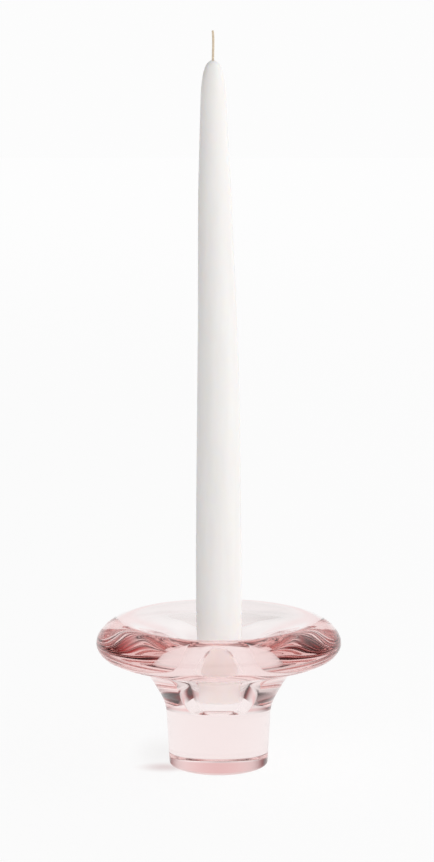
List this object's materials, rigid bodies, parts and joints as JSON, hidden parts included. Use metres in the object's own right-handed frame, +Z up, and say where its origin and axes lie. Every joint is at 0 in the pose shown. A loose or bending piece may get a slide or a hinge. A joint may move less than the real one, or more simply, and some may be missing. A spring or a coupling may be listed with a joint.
{
  "type": "glass candlestick",
  "caption": "Solid tinted glass candlestick: short stem, broad rounded dish with a tapering socket, holding a lift-out taper candle with a cotton wick.",
  "frame": {"origin": "centre of the glass holder's flat base, on the surface it stands on", "axes": "+Z up along the holder's axis; +X towards the right of the holder seen from the front, so the candle leans slightly towards -X; +Y away from the front"},
  "size_m": [0.119, 0.119, 0.3538],
  "materials": {
    "pink_glass": "clear, polished, pale pink all through",
    "white_wax": "smooth white wax with a soft sheen",
    "wick_cotton": "braided cotton, lightly waxed"
  },
  "bodies": {
    "holder": {"glass_holder": "pink_glass"},
    "candle": {"taper_candle": "white_wax", "cotton_wick": "wick_cotton"}
  },
  "joints": [
    {"name": "candle_lift", "type": "slide", "parent": "holder", "child": "candle", "axis": [-0.0105, 0, 0.9999], "range_m": [0, 0.05]}
  ]
}
